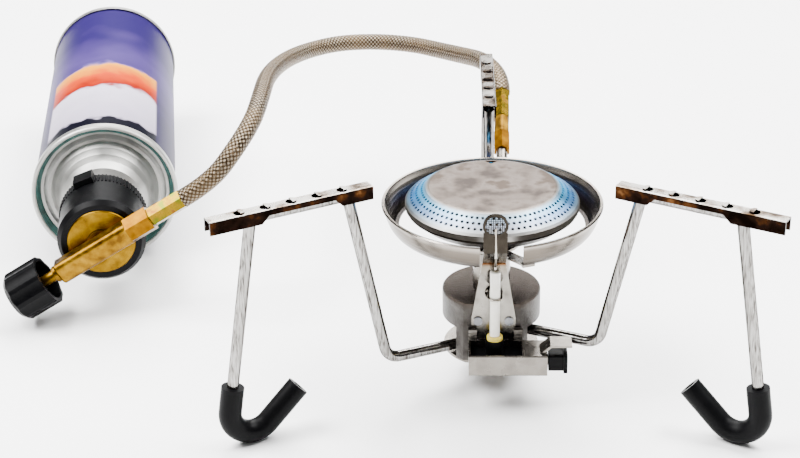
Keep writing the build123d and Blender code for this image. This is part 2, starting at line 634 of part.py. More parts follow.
# ---- valve ----------------------------------------------------------------------
INTO_CAN = Vector(*CAN_DIR).normalized()
TO_VIEW = INTO_CAN * -1
ACROSS = Vector(INTO_CAN.Y, -INTO_CAN.X, 0)
BAR_AXIS = ACROSS * cos(radians(BAR_TILT)) + Vector(0, 0, 1) * sin(radians(BAR_TILT))
VALVE_CENTRE = Vector(*SEAM_CENTRE) + TO_VIEW * VALVE_OFFSET
VALVE = Plane(origin=VALVE_CENTRE, x_dir=BAR_AXIS, z_dir=TO_VIEW)
CAN = Plane(origin=Vector(*SEAM_CENTRE), x_dir=ACROSS, z_dir=TO_VIEW)
VALVE_NUT_X = BAR_X[1]
VALVE_FERRULE_X = VALVE_NUT_X + VALVE_NUT_L
HOSE_X = VALVE_FERRULE_X + VALVE_FERRULE_L
DISC_TOP = -BAR_T / 2 - 0.4


def hex_along_x(x0, length, across_flats, bore):
    base = Plane(origin=(x0, 0, 0), x_dir=(0, 1, 0), z_dir=(1, 0, 0))
    bar = base * extrude(RegularPolygon(across_flats / 2, 6, major_radius=False), length)
    return bar - rod((x0 - 1, 0, 0), (x0 + length + 1, 0, 0), bore)


def valve_pieces():
    x0, x1 = BAR_X
    section = Plane.YZ * RectangleRounded(BAR_W, BAR_T, 2.6)
    bar = Pos(x0, 0, 0) * extrude(section, x1 - x0)
    bar = chamfer(bar.edges().group_by(Axis.X)[0], 0.7)
    boss = upright(0, 0, BOSS_R, DISC_TOP - DISC_T, DISC_TOP + 1.4)
    nozzle = upright(0, 0, NOZZLE_R, NOZZLE_END, DISC_TOP - DISC_T)
    body = bar + boss + nozzle
    pocket = GLAND_L + 2 * SEAL_R + 0.4
    body = body - rod((x0 - 1, 0, 0), (x0 + pocket, 0, 0), GLAND_R)
    body = body - rod((x0, 0, 0), (x0 + 16, 0, 0), SPINDLE_R + RUN_FIT)
    body = body - rod((x0 + 15, 0, 0), (x1 + 1, 0, 0), LINE_BORE_R)
    stem_room = STEM_TOP - VALVE_OFFSET + 1.0
    body = body - upright(0, 0, STEM_R + 0.1, NOZZLE_END - 1, stem_room)
    body = body - upright(0, 0, 0.9, stem_room - 1, 0)
    keep("valve_body", VALVE * body)
    disc = ring(BOSS_R + SEAT_GAP, DISC_R, DISC_TOP - DISC_T, DISC_TOP)
    keep("valve_disc", VALVE * fillet(disc.edges().group_by(Axis.Z)[-1].sort_by(SortBy.RADIUS)[-1], 0.8))
    seat = ring(STEM_R + 0.15, NOZZLE_R - 0.6, NOZZLE_END - 1.6, NOZZLE_END)
    keep("inlet_seal", VALVE * seat)
    gland = rod((x0 - GLAND_STEP, 0, 0), (x0 + GLAND_L, 0, 0), GLAND_R - SEAT_GAP)
    keep("gland_nut", VALVE * (gland - rod((x0 - 2 * GLAND_STEP, 0, 0), (x0 + 6, 0, 0), SPINDLE_R + RUN_FIT)))
    seal_x = x0 + GLAND_L + SEAL_R + 0.1
    major = SPINDLE_R + SEAL_R + 0.08
    seal = Plane(origin=(seal_x, 0, 0), z_dir=(1, 0, 0)) * Torus(major, SEAL_R)
    keep("spindle_seal", VALVE * seal)
    keep("valve_nut", VALVE * hex_along_x(VALVE_NUT_X, VALVE_NUT_L, VALVE_NUT_AF, LINE_BORE_R))
    keep("valve_ferrule", VALVE * hex_along_x(VALVE_FERRULE_X, VALVE_FERRULE_L, VALVE_FERRULE_AF, LINE_BORE_R))


def lock_collar():
    z0, z1 = COLLAR_Z
    w0, w1 = COLLAR_WEB_Z
    r = COLLAR_R
    outline = [(COLLAR_BORE_R, z0), (r - 0.6, z0), (r, z0 + 0.6), (r, z1 - 2.2), (r - 1.8, z1), (DISC_R + 0.1, z1),
               (DISC_R + 0.1, DISC_TOP - DISC_T), (NOZZLE_R + 3, DISC_TOP - DISC_T), (NOZZLE_R + 0.1, w1),
               (NOZZLE_R + 0.1, w0), (COLLAR_BORE_R, w0)]
    collar = turned(outline)
    half = TAB_W / 2
    tab = block((-half, half), (r - 1, r + TAB_H), (z0, z0 + TAB_L))
    # the tab stands to the left of straight up, whatever the bar's tilt
    up_angle = 90 - BAR_TILT + TAB_ANGLE
    return VALVE * (collar + Rot(0, 0, up_angle - 90) * tab)


def knob_pieces():
    k0, k1 = KNOB_X
    x0 = BAR_X[0]
    spindle = rod((k0 + 4, 0, 0), (x0 + 15, 0, 0), SPINDLE_R)
    tip = Plane(origin=(x0 + 15, 0, 0), z_dir=(1, 0, 0)) * Cone(1.6, 0.4, 3, align=(Align.CENTER, Align.CENTER, Align.MIN))
    keep("valve_spindle", VALVE * (spindle + tip))
    base = Plane(origin=(k0, 0, 0), x_dir=(0, 1, 0), z_dir=(1, 0, 0))
    length = k1 - k0
    shell = Cylinder(KNOB_R, length, align=(Align.CENTER, Align.CENTER, Align.MIN))
    shell = chamfer(shell.edges().group_by(Axis.Z)[0], 2.2)
    reach = KNOB_R + 11.4
    for i in range(KNOB_LOBES):
        a = 2 * pi * i / KNOB_LOBES
        shell = shell - Pos(reach * cos(a), reach * sin(a), 0) * Cylinder(12, 3 * length)
    skirt = ring(KNOB_BOSS_R, KNOB_R - KNOB_WALL, length - KNOB_SKIRT, length + 1)
    boss_cut = upright(0, 0, KNOB_BOSS_R + 0.1, length - 4, length + 1)
    hole = upright(0, 0, SPINDLE_R + SEAT_GAP, 4, length + 1)
    keep("valve_knob", VALVE * (base * (shell - skirt - boss_cut - hole)))


# ---- cartridge ------------------------------------------------------------------
def seam_outline(panel):
    """A double seam's section, carried on into the end panel's outer and inner lines."""
    r = SEAM_R
    outer = [(r, -SEAM_H), (r, -0.5), (r - 0.5, 0), (r - 1.4, 0), (r - 1.9, -0.5), (r - 1.9, -4.0)]
    inner = [(r - 1.5, -4.5), (r - 1.5, -0.9), (r - 0.4, -0.9), (r - 0.4, -SEAM_H)]
    skin = [(a, b - CAN_WALL) for a, b in reversed(panel)]
    return outer + panel + skin + inner


def cartridge():
    tube = ring(CAN_BODY_R - CAN_WALL, CAN_BODY_R, -CAN_L + 1.0, -1.0)
    keep("cartridge_shell", CAN * tube)
    dome = [(28.6, -4.6), (26.6, -3.4), (25.2, -3.6), (23.2, -1.0), (21.4, 3.0), (20.2, 8.0), (18.4, 12.4),
            (DOME_HOLE_R, DOME_TOP)]
    keep("cartridge_dome", CAN * turned(seam_outline(dome)))
    base = [(29.0, -4.8), (26.0, -3.2), (18.0, -7.6), (8.0, -9.6), (0, -10.0)]
    turned_base = Pos(0, 0, -CAN_L) * (Rot(180, 0, 0) * turned(seam_outline(base)))
    keep("cartridge_base", CAN * turned_base)
    r = SEAM_R - 1.9 - SEAT_GAP
    green = turned([(r, -0.9), (r, -3.6), (r - 2.1, -3.9), (r - 1.7, -2.4), (r - 0.7, -1.1)])
    keep("seam_compound", CAN * green)
    inner = DOME_HOLE_R - SEAT_GAP
    cup = [(inner, DOME_TOP - 2), (inner, CUP_TOP - 1.6), (CUP_FLANGE_R, CUP_TOP - 1.6), (CUP_FLANGE_R, CUP_TOP),
           (STEM_R + RUN_FIT, CUP_TOP), (STEM_R + RUN_FIT, CUP_TOP - 3), (5, CUP_TOP - 3), (inner - 1, CUP_TOP - 2.6),
           (inner - 1, DOME_TOP - 2)]
    keep("valve_cup", CAN * turned(cup))
    stem = upright(0, 0, STEM_R, CUP_TOP - 3, STEM_TOP) + upright(0, 0, 3.2, CUP_TOP - 6.5, CUP_TOP - 3)
    keep("cartridge_stem", CAN * (stem - upright(0, 0, 0.6, CUP_TOP - 4, STEM_TOP + 1)))


# ---- hose -----------------------------------------------------------------------
def hose():
    start = VALVE.from_local_coords(Vector(HOSE_X, 0, 0))
    out = start + BAR_AXIS * HOSE_LEADS[0]
    back = INLET_END + INLET_AXIS * HOSE_LEADS[1]
    points = [start, out] + [Vector(*p) for p in HOSE_ROUTE] + [back, INLET_END]
    print("hose leads", out, back)
    runs = [b - a for a, b in zip(points, points[1:])]
    radii = []
    for a, b in zip(runs, runs[1:]):
        half = radians(a.get_angle(b)) / 2
        radii.append(0.45 * min(a.length, b.length) / tan(half))
    print("hose start", start, "end", INLET_END)
    print("hose runs", [round(run.length) for run in runs])
    print("hose turns", [round(a.get_angle(b)) for a, b in zip(runs, runs[1:])])
    print("hose bend radii", [round(r) for r in radii])
    path = FilletPolyline(*points, radius=radii)
    tube = swept(path, HOSE_D / 2)
    print("hose length", round(path.length, 1), "volume over section x length",
          round(tube.volume / (pi * HOSE_D ** 2 / 4 * path.length), 4))
    return tube


# ---- build ----------------------------------------------------------------------
def build():
    keep("hub_casting", hub_casting())
    pivot_pieces()
    for name in REST_AZIMUTH:
        keep(f"{name}_leg_rod", leg_rod(name))
        keep(f"{name}_support_bar", support_bar(name))
        keep(f"{name}_foot_sleeve", foot_sleeve(name))
    keep("mixing_tube", mixing_tube())
    keep("gas_jet", gas_jet())
    keep("burner_cup", burner_cup())
    keep("burner_cap", burner_cap())
    keep("reflector_bowl", reflector_bowl())
    keep("bowl_spider", bowl_spider())
    keep("igniter_bracket", igniter_bracket())
    keep("bracket_rivets", bracket_rivets())
    keep("igniter_tray", igniter_tray())
    igniter_inside()
    ceramic_and_wire()
    inlet_line()
    valve_pieces()
    keep("lock_collar", lock_collar())
    knob_pieces()
    cartridge()
    keep("hose", hose())


build()
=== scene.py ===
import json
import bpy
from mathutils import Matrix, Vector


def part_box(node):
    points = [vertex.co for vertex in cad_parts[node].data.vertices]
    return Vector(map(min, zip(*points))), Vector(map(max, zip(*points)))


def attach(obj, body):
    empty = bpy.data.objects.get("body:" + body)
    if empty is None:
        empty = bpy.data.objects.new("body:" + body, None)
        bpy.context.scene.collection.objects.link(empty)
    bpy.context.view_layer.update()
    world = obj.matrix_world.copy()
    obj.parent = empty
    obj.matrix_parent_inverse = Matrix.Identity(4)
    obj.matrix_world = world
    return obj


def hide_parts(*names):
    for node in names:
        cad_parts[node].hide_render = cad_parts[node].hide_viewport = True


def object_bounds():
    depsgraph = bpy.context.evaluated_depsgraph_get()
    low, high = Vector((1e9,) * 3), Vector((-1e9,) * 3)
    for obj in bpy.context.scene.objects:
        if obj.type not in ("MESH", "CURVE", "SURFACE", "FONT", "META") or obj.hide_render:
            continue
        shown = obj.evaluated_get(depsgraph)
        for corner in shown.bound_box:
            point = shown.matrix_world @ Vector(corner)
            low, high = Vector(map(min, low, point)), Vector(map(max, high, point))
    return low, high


bl_info = {
    "name": "Canister stove",
    "version": (1, 0, 0),
    "blender": (4, 5, 0),
    "location": "View3D > Sidebar > Stove",
    "description": "Dresses the canister stove's parts and sets a plain studio round it",
    "category": "Object",
}

from math import ceil, cos, floor, pi, radians, sin, sqrt

import bpy
from bpy.props import FloatProperty, FloatVectorProperty, IntProperty, PointerProperty
from mathutils import Matrix, Vector

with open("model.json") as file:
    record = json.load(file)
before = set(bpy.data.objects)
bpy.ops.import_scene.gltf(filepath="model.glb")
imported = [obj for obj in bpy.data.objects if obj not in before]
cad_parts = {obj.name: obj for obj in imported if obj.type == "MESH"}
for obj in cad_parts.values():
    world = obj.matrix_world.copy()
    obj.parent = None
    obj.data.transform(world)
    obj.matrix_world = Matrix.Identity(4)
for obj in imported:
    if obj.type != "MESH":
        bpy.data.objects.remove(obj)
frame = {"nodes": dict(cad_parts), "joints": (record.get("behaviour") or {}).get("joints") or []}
CAD_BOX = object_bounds()
NODES = frame["nodes"]
JOINTS = {joint["name"]: joint for joint in frame["joints"]}
MM = 0.001

# The valve's own axes: along its bar towards the hose, and away from the cartridge.
VALVE_CENTRE = Vector(JOINTS["valve_knob_turn"]["pos_m"])
BAR_AXIS = Vector(JOINTS["valve_knob_turn"]["axis"]).normalized()
INTO_CAN = Vector(JOINTS["cartridge_release"]["axis"]).normalized()
FROM_CAN = -INTO_CAN


def middle(node):
    low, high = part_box(node)
    return (Vector(low) + Vector(high)) / 2


CAN_CENTRE = middle("cartridge_shell")
can_reach = Vector(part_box("cartridge_shell")[1]) - CAN_CENTRE
CAN_HALF = (can_reach.y - can_reach.z * abs(INTO_CAN.x)) / INTO_CAN.y

# The hose's route from the valve's ferrule to the inlet's ferrule, in metres.
HOSE_ROUTE = (
    (-0.1339, 0.0551, 0.0548),
    (-0.1210, 0.0571, 0.0621),
    (-0.1105, 0.0650, 0.0745),
    (-0.1040, 0.0800, 0.0820),
    (-0.1025, 0.1020, 0.0860),
    (-0.1035, 0.1290, 0.0830),
    (-0.1020, 0.1560, 0.0790),
    (-0.0980, 0.1820, 0.0745),
    (-0.0900, 0.2040, 0.0710),
    (-0.0750, 0.2180, 0.0700),
    (-0.0550, 0.2215, 0.0695),
    (-0.0360, 0.2120, 0.0710),
    (-0.0225, 0.1955, 0.0735),
    (-0.0105, 0.1760, 0.0775),
    (-0.0010, 0.1550, 0.0825),
    (0.0069, 0.1365, 0.0805),
    (0.0068, 0.1275, 0.0761),
)


# ---- colours and nodes -----------------------------------------------------------
def colour(hex_value):
    """An sRGB hex colour as linear RGB."""
    parts = [int(hex_value[i:i + 2], 16) / 255 for i in (1, 3, 5)]
    return tuple(c / 12.92 if c <= 0.04045 else ((c + 0.055) / 1.055) ** 2.4 for c in parts)


def add(tree, kind, inputs=None, stops=None, **settings):
    """Adds one node: settings go on the node, inputs are values or sockets to link from."""
    made = tree.nodes.new(kind)
    for key, value in settings.items():
        setattr(made, key, value)
    for key, value in (inputs or {}).items():
        if isinstance(value, bpy.types.NodeSocket):
            tree.links.new(value, made.inputs[key])
        else:
            made.inputs[key].default_value = value
    if stops:
        ramp = made.color_ramp
        while len(ramp.elements) < len(stops):
            ramp.elements.new(0.5)
        for element, (place, shade) in zip(ramp.elements, stops):
            element.position = place
            element.color = (*shade, 1) if not isinstance(shade, float) else (shade, shade, shade, 1)
    return made


def per_mm(size):
    """The scale of a pattern whose features are this many millimetres across."""
    return 1 / (size * MM)


def finish_of(name, base, metallic, roughness, **sockets):
    """A material with its shader set, its tree, the shader and the object's coordinates."""
    made = bpy.data.materials.new(name)
    made.use_nodes = True
    tree = made.node_tree
    shader = tree.nodes["Principled BSDF"]
    shader.inputs["Base Color"].default_value = (*base, 1)
    shader.inputs["Metallic"].default_value = metallic
    shader.inputs["Roughness"].default_value = roughness
    for key, value in sockets.items():
        shader.inputs[key.replace("_", " ")].default_value = value
    place = add(tree, "ShaderNodeTexCoord").outputs["Object"]
    return made, tree, shader, place


def grain(tree, shader, place, size, depth, strength=1.0, detail=3.0, stretch=None):
    """Surface grain of one size, as relief; stretch draws it out along an axis."""
    if stretch:
        place = add(tree, "ShaderNodeMapping", {"Vector": place, "Scale": stretch}).outputs[0]
    noise = add(tree, "ShaderNodeTexNoise", {"Vector": place, "Scale": per_mm(size), "Detail": detail})
    bump = add(tree, "ShaderNodeBump",
               {"Height": noise.outputs["Fac"], "Distance": depth * MM, "Strength": strength})
    tree.links.new(bump.outputs["Normal"], shader.inputs["Normal"])
    return noise.outputs["Fac"]


def stained(tree, shader, place, size, stops, roughness=None, detail=4.0):
    """Colour, and roughness when given, that vary over patches of one size."""
    noise = add(tree, "ShaderNodeTexNoise", {"Vector": place, "Scale": per_mm(size), "Detail": detail})
    ramp = add(tree, "ShaderNodeValToRGB", {"Fac": noise.outputs["Fac"]}, stops)
    tree.links.new(ramp.outputs["Color"], shader.inputs["Base Color"])
    if roughness:
        low, high = roughness
        rough = add(tree, "ShaderNodeMapRange",
                    {"Value": noise.outputs["Fac"], "From Min": 0.3, "From Max": 0.7,
                     "To Min": low, "To Max": high})
        tree.links.new(rough.outputs["Result"], shader.inputs["Roughness"])
    return ramp.outputs["Color"]


def mixed(tree, factor, first, second):
    """Two colours mixed by a factor."""
    return add(tree, "ShaderNodeMix", {0: factor, 6: first, 7: second}, data_type="RGBA").outputs[2]


# ---- metals ----------------------------------------------------------------------
def cast_aluminium():
    """Die-cast aluminium, as cast: a granular satin skin, browned on top by heat."""
    made, tree, shader, place = finish_of("aluminium_as_cast", colour("#a7a4a0"), 1.0, 0.42)
    base = stained(tree, shader, place, 5.0,
                   [(0.3, colour("#34312e")), (0.55, colour("#464340")), (0.75, colour("#5a5754"))],
                   (0.34, 0.50))
    height = add(tree, "ShaderNodeSeparateXYZ", {0: place}).outputs["Z"]
    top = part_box("hub_casting")[1][2]
    near_top = add(tree, "ShaderNodeMapRange",
                   {"Value": height, "From Min": top - 3 * MM, "From Max": top,
                    "To Min": 0.0, "To Max": 0.75})
    brown = mixed(tree, near_top.outputs["Result"], base, (*colour("#39312b"), 1))
    tree.links.new(brown, shader.inputs["Base Color"])
    # the grit of a sand-like die skin, drawn as coarse as it needs to show
    grain(tree, shader, place, 0.7, 0.35, 1.0)
    return made


def chrome_plated_steel():
    """Drawn steel rod, bright plated: mirror-like, with faint dull streaks."""
    # painted shade at the rod's edges: the dark specular tint dims its reflections at grazing angles
    made, tree, shader, place = finish_of("steel_rod_bright_plated", colour("#8c8a87"), 1.0, 0.14,
                                          Specular_Tint=(0.12, 0.12, 0.13, 1.0))
    drawn = add(tree, "ShaderNodeMapping", {"Vector": place, "Scale": (1.0, 1.0, 0.08)}).outputs[0]
    stained(tree, shader, drawn, 0.6,
            [(0.34, colour("#4a4744")), (0.45, colour("#7a7773")), (0.56, colour("#8f8d8a")),
             (0.70, colour("#9f9d9a"))], (0.08, 0.20))
    grain(tree, shader, place, 1.2, 0.02, 0.5)
    return made


def heat_tinted_stainless():
    """Stainless strip, folded, blued by the flame: straw and brown patches on bright steel."""
    made, tree, shader, place = finish_of("stainless_strip_heat_tinted", colour("#b8ab98"), 1.0, 0.26)
    base = stained(tree, shader, place, 12.0,
                   [(0.36, colour("#3c2c1c")), (0.43, colour("#7d7064")), (0.50, colour("#a09b94")),
                    (0.70, colour("#b6b3ae"))], (0.20, 0.32), detail=5.0)
    # painted shade: faces that point sideways, the flanges most, go near black by their normal, with brown
    # heat tint in the noise's lighter patches
    facing = add(tree, "ShaderNodeNewGeometry").outputs["Normal"]
    upward = add(tree, "ShaderNodeSeparateXYZ", {0: facing}).outputs["Z"]
    soot = add(tree, "ShaderNodeTexNoise",
               {"Vector": place, "Scale": per_mm(7.0), "Detail": 5.0}).outputs["Fac"]
    side_shade_mask = add(tree, "ShaderNodeMapRange", {"Value": upward, "From Min": 0.3, "From Max": 0.8,
                                             "To Min": 1.0, "To Max": 0.0}).outputs["Result"]
    shade = add(tree, "ShaderNodeValToRGB", {"Fac": soot},
                [(0.38, colour("#040201")), (0.52, colour("#100805")), (0.62, colour("#2c1707")),
                 (0.74, colour("#5a3c22"))]).outputs["Color"]
    tree.links.new(mixed(tree, side_shade_mask, base, shade), shader.inputs["Base Color"])
    grain(tree, shader, place, 0.5, 0.03, 0.5)
    return made


def pressed_stainless():
    """Stainless sheet, pressed: soft sheen with fine rolling lines and finger-dull patches."""
    made, tree, shader, place = finish_of("stainless_sheet_pressed", colour("#bdb9b2"), 1.0, 0.28)
    stained(tree, shader, place, 6.0,
            [(0.32, colour("#6a655f")), (0.50, colour("#76716a")), (0.70, colour("#807b74"))], (0.20, 0.34))
    grain(tree, shader, place, 0.4, 0.03, 0.5, stretch=(1.0, 1.0, 0.12))
    return made


def bracket_stainless():
    """The same sheet on the spark bracket, browned where it leans into the flame."""
    made, tree, shader, place = finish_of("stainless_sheet_flame_browned", colour("#bdb9b2"), 1.0, 0.28)
    base = stained(tree, shader, place, 6.0,
                   [(0.32, colour("#5f5b55")), (0.50, colour("#7a766f")), (0.70, colour("#8b877f"))],
                   (0.16, 0.30))
    height = add(tree, "ShaderNodeSeparateXYZ", {0: place}).outputs["Z"]
    low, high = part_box("igniter_bracket")
    crease = low[2] + 0.53 * (high[2] - low[2])
    rise = add(tree, "ShaderNodeMapRange",
               {"Value": height, "From Min": crease - 6 * MM, "From Max": crease + 8 * MM})
    tint = add(tree, "ShaderNodeValToRGB", {"Fac": rise.outputs["Result"]},
               [(0.0, colour("#ffffff")), (0.30, colour("#f0e8dc")), (0.40, colour("#a8640e")),
                (0.50, colour("#3a3430")), (1.0, colour("#5a5550"))])
    browned = add(tree, "ShaderNodeMix", {0: 1.0, 6: base, 7: tint.outputs["Color"]},
                  data_type="RGBA", blend_type="MULTIPLY").outputs[2]
    tree.links.new(browned, shader.inputs["Base Color"])
    grain(tree, shader, place, 0.4, 0.03, 0.5)
    return made


def burner_stainless():
    """Drawn stainless burner head: grey-brown blotches on its flat, blued towards its edge."""
    made, tree, shader, place = finish_of("stainless_burner_heat_stained", colour("#8f8880"), 1.0, 0.36)
    flat = stained(tree, shader, place, 10.0,
                   [(0.36, colour("#2f2620")), (0.46, colour("#494039")), (0.56, colour("#59514b")),
                    (0.66, colour("#3d332b"))], (0.34, 0.50), detail=8.0)
    apart = add(tree, "ShaderNodeSeparateXYZ", {0: place})
    round_axis = add(tree, "ShaderNodeCombineXYZ", {"X": apart.outputs["X"], "Y": apart.outputs["Y"]})
    radius = add(tree, "ShaderNodeVectorMath", {0: round_axis.outputs[0]},
                 operation="LENGTH").outputs["Value"]
    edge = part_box("burner_cap")[1][0]
    outward = add(tree, "ShaderNodeMapRange", {"Value": radius, "From Min": edge * 0.70, "From Max": edge})
    # straw, violet and blue oxide bands, as steel takes them where it is hottest
    tint = add(tree, "ShaderNodeValToRGB", {"Fac": outward.outputs["Result"]},
               [(0.0, colour("#6a625a")), (0.14, colour("#84807a")), (0.34, colour("#2c9fd0")),
                (0.70, colour("#2a78b8")), (0.90, colour("#5e7f98")), (1.0, colour("#85827e"))])
    plain = add(tree, "ShaderNodeValToRGB", {"Fac": outward.outputs["Result"]},
                [(0.0, colour("#6a625a")), (0.2, colour("#8d8882")), (1.0, colour("#85827e"))])
    # the front, by the screen, stayed clean
    behind = add(tree, "ShaderNodeMapRange", {"Value": apart.outputs["Y"], "From Min": -edge, "From Max": 0.0,
                                              "To Min": 0.1, "To Max": 1.0})
    band = mixed(tree, behind.outputs["Result"], plain.outputs["Color"], tint.outputs["Color"])
    hot = add(tree, "ShaderNodeMapRange", {"Value": radius, "From Min": edge * 0.72, "From Max": edge * 0.78})
    tree.links.new(mixed(tree, hot.outputs["Result"], flat, band), shader.inputs["Base Color"])
    grain(tree, shader, place, 0.8, 0.03, 0.6, stretch=(1.0, 0.15, 1.0))
    return made


def soot_and_shade_stainless():
    """Drawn stainless cup under the burner cap: dark with soot and with painted shade, so that the ports look
    deep.
    """
    made, tree, shader, place = finish_of("stainless_cup_soot_and_painted_shade", colour("#2a2622"), 1.0, 0.45)
    stained(tree, shader, place, 8.0, [(0.3, colour("#151210")), (0.7, colour("#3a352f"))], (0.40, 0.55))
    return made


def spun_stainless():
    """Spun stainless bowl: turning lines, a silver rim and violet and blue oxide by the flame."""
    made, tree, shader, place = finish_of("stainless_bowl_spun", colour("#8b847c"), 1.0, 0.26)
    apart = add(tree, "ShaderNodeSeparateXYZ", {0: place})
    low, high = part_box("reflector_bowl")
    rise = add(tree, "ShaderNodeMapRange",
               {"Value": apart.outputs["Z"], "From Min": low[2], "From Max": high[2]}).outputs["Result"]
    wander = add(tree, "ShaderNodeTexNoise", {"Vector": place, "Scale": per_mm(16.0), "Detail": 3.0})
    shifted = add(tree, "ShaderNodeMath", {0: wander.outputs["Fac"], 1: 0.30, 2: rise},
                  operation="MULTIPLY_ADD")
    tint = add(tree, "ShaderNodeValToRGB", {"Fac": shifted.outputs[0]},
               [(0.10, colour("#3a352f")), (0.34, colour("#443e38")), (0.50, colour("#3c3558")),
                (0.66, colour("#34507c")), (0.84, colour("#4d4a48")), (1.0, colour("#8b847c"))])
    clean = add(tree, "ShaderNodeValToRGB", {"Fac": shifted.outputs[0]},
                [(0.10, colour("#3a352f")), (0.45, colour("#544d45")), (0.84, colour("#5f5850")),
                 (1.0, colour("#8b847c"))])
    # only the far side, behind the screen, met enough flame to colour
    behind = add(tree, "ShaderNodeMapRange", {"Value": apart.outputs["Y"], "From Min": 0.0,
                                              "From Max": 0.6 * high[1]}).outputs["Result"]
    tinted = mixed(tree, behind, clean.outputs["Color"], tint.outputs["Color"])
    tree.links.new(tinted, shader.inputs["Base Color"])
    lines = add(tree, "ShaderNodeTexWave",
                {"Vector": place, "Scale": per_mm(9.0), "Distortion": 0.4, "Detail": 2.0},
                wave_type="BANDS", bands_direction="Z")
    bump = add(tree, "ShaderNodeBump",
               {"Height": lines.outputs["Fac"], "Distance": 0.02 * MM, "Strength": 0.4})
    tree.links.new(bump.outputs["Normal"], shader.inputs["Normal"])
    return made


def bar_brass():
    """Brass bar, machined and handled: dull olive gold with darker tarnish in its dips."""
    made, tree, shader, place = finish_of("brass_bar_tarnished", colour("#a58a48"), 1.0, 0.38)
    stained(tree, shader, place, 4.0,
            [(0.32, colour("#49300a")), (0.50, colour("#6b4c0c")), (0.70, colour("#866414"))], (0.30, 0.44))
    grain(tree, shader, place, 0.5, 0.06, 0.6)
    return made


def turned_brass():
    """Turned brass disc: fine tool rings about its axis under an olive tarnish."""
    made, tree, shader, place = finish_of("brass_disc_turned", colour("#a1843f"), 1.0, 0.34)
    stained(tree, shader, place, 5.0,
            [(0.32, colour("#4b3406")), (0.52, colour("#6b4e08")), (0.75, colour("#866818"))], (0.26, 0.40))
    offset = add(tree, "ShaderNodeVectorMath", {0: place, 1: VALVE_CENTRE}, operation="SUBTRACT")
    across = add(tree, "ShaderNodeVectorMath", {0: offset.outputs[0], 1: INTO_CAN}, operation="CROSS_PRODUCT")
    radius = add(tree, "ShaderNodeVectorMath", {0: across.outputs[0]}, operation="LENGTH")
    rings = add(tree, "ShaderNodeMath", {0: radius.outputs["Value"], 1: 2 * pi * per_mm(0.8)},
                operation="MULTIPLY")
    wave = add(tree, "ShaderNodeMath", {0: rings.outputs[0]}, operation="SINE")
    bump = add(tree, "ShaderNodeBump", {"Height": wave.outputs[0], "Distance": 0.03 * MM, "Strength": 0.7})
    tree.links.new(bump.outputs["Normal"], shader.inputs["Normal"])
    return made


def chromated_steel():
    """Steel fitting, zinc plated with yellow chromate: gold with pink and green clouds."""
    made, tree, shader, place = finish_of("steel_yellow_chromate", colour("#a98c3a"), 1.0, 0.28)
    stained(tree, shader, place, 4.5,
            [(0.32, colour("#45480e")), (0.44, colour("#624e08")), (0.56, colour("#6c540a")),
             (0.68, colour("#623c18"))],
            (0.18, 0.34))
    grain(tree, shader, place, 0.6, 0.03, 0.5)
    return made


def orange_nut():
    """Brass nut under a tinted lacquer: a warm orange gold with a satin gleam."""
    made, tree, shader, place = finish_of("brass_nut_orange_lacquer", colour("#c07e18"), 1.0, 0.30)
    stained(tree, shader, place, 4.0,
            [(0.30, colour("#4a2c00")), (0.55, colour("#644102")), (0.80, colour("#785406"))], (0.28, 0.38))
    grain(tree, shader, place, 0.6, 0.03, 0.5)
    return made


def zinc_plated_steel():
    """Steel hardware, zinc plated: a cool, slightly cloudy grey."""
    made, tree, shader, place = finish_of("steel_zinc_plated", colour("#aaabac"), 1.0, 0.32)
    stained(tree, shader, place, 3.0, [(0.3, colour("#5f6062")), (0.7, colour("#86878a"))], (0.26, 0.40))
    grain(tree, shader, place, 0.5, 0.03, 0.5)
    return made


def drawn_wire():
    """Nickel alloy wire, drawn: bright, a little straw coloured at its hot end."""
    made, tree, shader, place = finish_of("nickel_wire_drawn", colour("#cfc9c0"), 1.0, 0.18)
    stained(tree, shader, place, 3.0, [(0.3, colour("#857b6b")), (0.7, colour("#b5b0a8"))], (0.12, 0.22))
    return made


def woven_wire():
    """Stainless gauze, woven: dark with soot, bright only on the crowns of its wires."""
    made, tree, shader, place = finish_of("stainless_gauze_sooted", colour("#5e564f"), 1.0, 0.38)
    stained(tree, shader, place, 1.6, [(0.3, colour("#0c0a08")), (0.7, colour("#3a342e"))], (0.40, 0.55))
    return made


def braided_stainless():
    """Stainless wire braid: bright brownish crowns, with painted shade, near black, in the gaps between the
    bundles.
    """
    made, tree, shader, place = finish_of("stainless_wire_braid", colour("#a2978a"), 1.0, 0.34)
    lift = add(tree, "ShaderNodeAttribute", attribute_name="lift").outputs["Fac"]
    # painted shade: by the braid's height, the colour goes near black in the gaps between the bundles and
    # lightest on the crowns
    crown = add(tree, "ShaderNodeValToRGB", {"Fac": lift},
                [(0.0, colour("#040302")), (0.40, colour("#1c1610")), (0.7, colour("#574c3e")),
                 (1.0, colour("#978c7c"))])
    tone = add(tree, "ShaderNodeTexNoise", {"Vector": place, "Scale": per_mm(12.0), "Detail": 4.0})
    warm = add(tree, "ShaderNodeMapRange", {"Value": tone.outputs["Fac"], "From Min": 0.35, "From Max": 0.65,
                                            "To Min": 0.0, "To Max": 0.45})
    both = mixed(tree, warm.outputs["Result"], crown.outputs["Color"], (*colour("#5c4a34"), 1))
    tree.links.new(both, shader.inputs["Base Color"])
    # the single wires of a bundle, drawn coarser than their 0.15 mm so that they show
    wires = add(tree, "ShaderNodeAttribute", attribute_name="wire").outputs["Fac"]
    wave = add(tree, "ShaderNodeMath", {0: wires, 1: 2 * pi}, operation="MULTIPLY")
    ridge = add(tree, "ShaderNodeMath", {0: wave.outputs[0]}, operation="SINE")
    bump = add(tree, "ShaderNodeBump", {"Height": ridge.outputs[0], "Distance": 0.05 * MM, "Strength": 0.6})
    tree.links.new(bump.outputs["Normal"], shader.inputs["Normal"])
    return made


